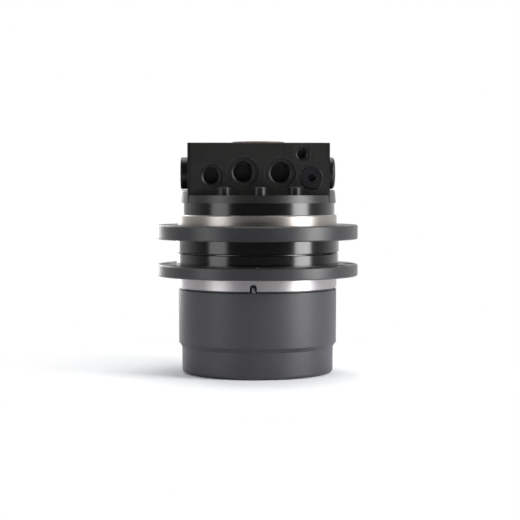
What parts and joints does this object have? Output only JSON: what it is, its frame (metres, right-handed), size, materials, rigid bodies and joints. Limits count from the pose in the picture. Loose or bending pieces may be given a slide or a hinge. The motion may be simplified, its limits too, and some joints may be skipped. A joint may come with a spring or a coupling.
{
  "type": "excavator final drive",
  "caption": "Travel motor with valve block on a flanged case, carrying a flanged sprocket hub and a drum with a two-stage planetary gearbox.",
  "frame": {"origin": "centre of the rim round the end cover, on which the part stands", "axes": "+Z along the common axis towards the valve block, -Y out of the port face, +X to the right of the port face"},
  "size_m": [0.2, 0.2, 0.2289],
  "materials": {
    "case_iron": "satin black paint",
    "block_iron": "satin black paint",
    "hub_iron": "satin black paint and machined band",
    "housing_iron": "satin dark grey paint",
    "cover_iron": "satin dark grey paint",
    "black_fasteners": "black oxide",
    "spring_steel": "bare spring steel",
    "rubber": "matte",
    "valve_bronze": "lapped",
    "friction_lining": "paper lining",
    "bearing_steel": "ground",
    "gear_steel": "ground teeth",
    "machined_steel": "turned and ground"
  },
  "bodies": {
    "case": {"motor_case": "case_iron", "valve_block": "block_iron", "block_bolts": "black_fasteners", "spool_cap_left": "black_fasteners", "spool_cap_right": "black_fasteners", "port_screw_plug": "black_fasteners", "static_o_rings": "rubber", "valve_plate": "valve_bronze", "swash_plate": "machined_steel", "shaft_seal": "rubber", "shaft_bearing_outer_ring": "bearing_steel", "rear_needle_bearing": "bearing_steel", "main_bearing_inner_rings": "bearing_steel", "bearing_nut": "machined_steel", "planet_2_pins": "machined_steel", "planet_2_needles": "bearing_steel", "planet_2_retainers": "spring_steel", "seal_ring_static": "machined_steel", "brake_steel_plates": "machined_steel", "brake_disc_spring": "spring_steel", "spool_springs": "spring_steel"},
    "hub": {"sprocket_hub": "hub_iron", "ring_gear_housing": "housing_iron", "end_cover": "cover_iron", "lock_pin": "spring_steel", "hub_o_rings": "rubber", "cover_wire_ring": "spring_steel", "oil_plugs": "black_fasteners", "thrust_button": "bearing_steel", "main_bearing_outer_rings": "bearing_steel", "seal_ring_rotating": "machined_steel"},
    "main_balls_lower": {"bearing_balls_lower": "bearing_steel"},
    "main_balls_upper": {"bearing_balls_upper": "bearing_steel"},
    "shaft": {"motor_shaft": "machined_steel", "cylinder_block": "machined_steel", "pistons": "machined_steel", "slippers": "valve_bronze", "retainer_plate": "machined_steel", "retainer_ball": "machined_steel", "sun_shaft": "gear_steel", "shaft_bearing_inner_ring": "bearing_steel", "brake_friction_discs": "friction_lining"},
    "shaft_balls": {"shaft_bearing_balls": "bearing_steel"},
    "carrier": {"carrier_1": "gear_steel", "sun_gear_2": "gear_steel", "planet_1_pins": "machined_steel", "planet_1_needles": "bearing_steel"},
    "brake_piston": {"brake_piston": "machined_steel"},
    "spool": {"spool": "machined_steel"},
    "planet_1a": {"planet_1a": "gear_steel"},
    "planet_1b": {"planet_1b": "gear_steel"},
    "planet_1c": {"planet_1c": "gear_steel"},
    "planet_2a": {"planet_2a": "gear_steel"},
    "planet_2b": {"planet_2b": "gear_steel"},
    "planet_2c": {"planet_2c": "gear_steel"},
    "planet_2d": {"planet_2d": "gear_steel"}
  },
  "joints": [
    {"name": "hub_spin", "type": "hinge", "parent": "case", "child": "hub", "pos_m": [0, 0, 0], "axis": [0, 0, 1], "continuous": true},
    {"name": "main_balls_lower_spin", "type": "hinge", "parent": "case", "child": "main_balls_lower", "pos_m": [0, 0, 0], "axis": [0, 0, 1], "continuous": true},
    {"name": "main_balls_upper_spin", "type": "hinge", "parent": "case", "child": "main_balls_upper", "pos_m": [0, 0, 0], "axis": [0, 0, 1], "continuous": true},
    {"name": "motor_shaft_spin", "type": "hinge", "parent": "case", "child": "shaft", "pos_m": [0, 0, 0], "axis": [0, 0, 1], "continuous": true},
    {"name": "shaft_balls_spin", "type": "hinge", "parent": "case", "child": "shaft_balls", "pos_m": [0, 0, 0], "axis": [0, 0, 1], "continuous": true},
    {"name": "carrier_spin", "type": "hinge", "parent": "case", "child": "carrier", "pos_m": [0, 0, 0], "axis": [0, 0, 1], "continuous": true},
    {"name": "planet_1a_spin", "type": "hinge", "parent": "carrier", "child": "planet_1a", "pos_m": [0.039, 0, 0], "axis": [0, 0, 1], "continuous": true},
    {"name": "planet_1b_spin", "type": "hinge", "parent": "carrier", "child": "planet_1b", "pos_m": [-0.0195, 0.03377, 0], "axis": [0, 0, 1], "continuous": true},
    {"name": "planet_1c_spin", "type": "hinge", "parent": "carrier", "child": "planet_1c", "pos_m": [-0.0195, -0.03377, 0], "axis": [0, 0, 1], "continuous": true},
    {"name": "planet_2a_spin", "type": "hinge", "parent": "case", "child": "planet_2a", "pos_m": [0.04, 0, 0], "axis": [0, 0, 1], "continuous": true},
    {"name": "planet_2b_spin", "type": "hinge", "parent": "case", "child": "planet_2b", "pos_m": [0, 0.04, 0], "axis": [0, 0, 1], "continuous": true},
    {"name": "planet_2c_spin", "type": "hinge", "parent": "case", "child": "planet_2c", "pos_m": [-0.04, 0, 0], "axis": [0, 0, 1], "continuous": true},
    {"name": "planet_2d_spin", "type": "hinge", "parent": "case", "child": "planet_2d", "pos_m": [0, -0.04, 0], "axis": [0, 0, 1], "continuous": true},
    {"name": "brake_release", "type": "slide", "parent": "case", "child": "brake_piston", "axis": [0, 0, 1], "range_m": [0, 0.0015], "deforming": ["brake_disc_spring"]},
    {"name": "spool_slide", "type": "slide", "parent": "case", "child": "spool", "axis": [1, 0, 0], "range_m": [-0.003, 0.003], "stiffness_N_per_m": 2000, "deforming": ["spool_springs"]}
  ],
  "couplings": [
    {"joint": "main_balls_lower_spin", "follows": "hub_spin", "ratio": 0.53629},
    {"joint": "main_balls_upper_spin", "follows": "hub_spin", "ratio": 0.53629},
    {"joint": "motor_shaft_spin", "follows": "hub_spin", "ratio": -36.143},
    {"joint": "shaft_balls_spin", "follows": "hub_spin", "ratio": -14.742},
    {"joint": "carrier_spin", "follows": "hub_spin", "ratio": -4.7143},
    {"joint": "planet_1a_spin", "follows": "hub_spin", "ratio": 13.968},
    {"joint": "planet_1b_spin", "follows": "hub_spin", "ratio": 13.968},
    {"joint": "planet_1c_spin", "follows": "hub_spin", "ratio": 13.968},
    {"joint": "planet_2a_spin", "follows": "hub_spin", "ratio": 2.5385},
    {"joint": "planet_2b_spin", "follows": "hub_spin", "ratio": 2.5385},
    {"joint": "planet_2c_spin", "follows": "hub_spin", "ratio": 2.5385},
    {"joint": "planet_2d_spin", "follows": "hub_spin", "ratio": 2.5385}
  ]
}
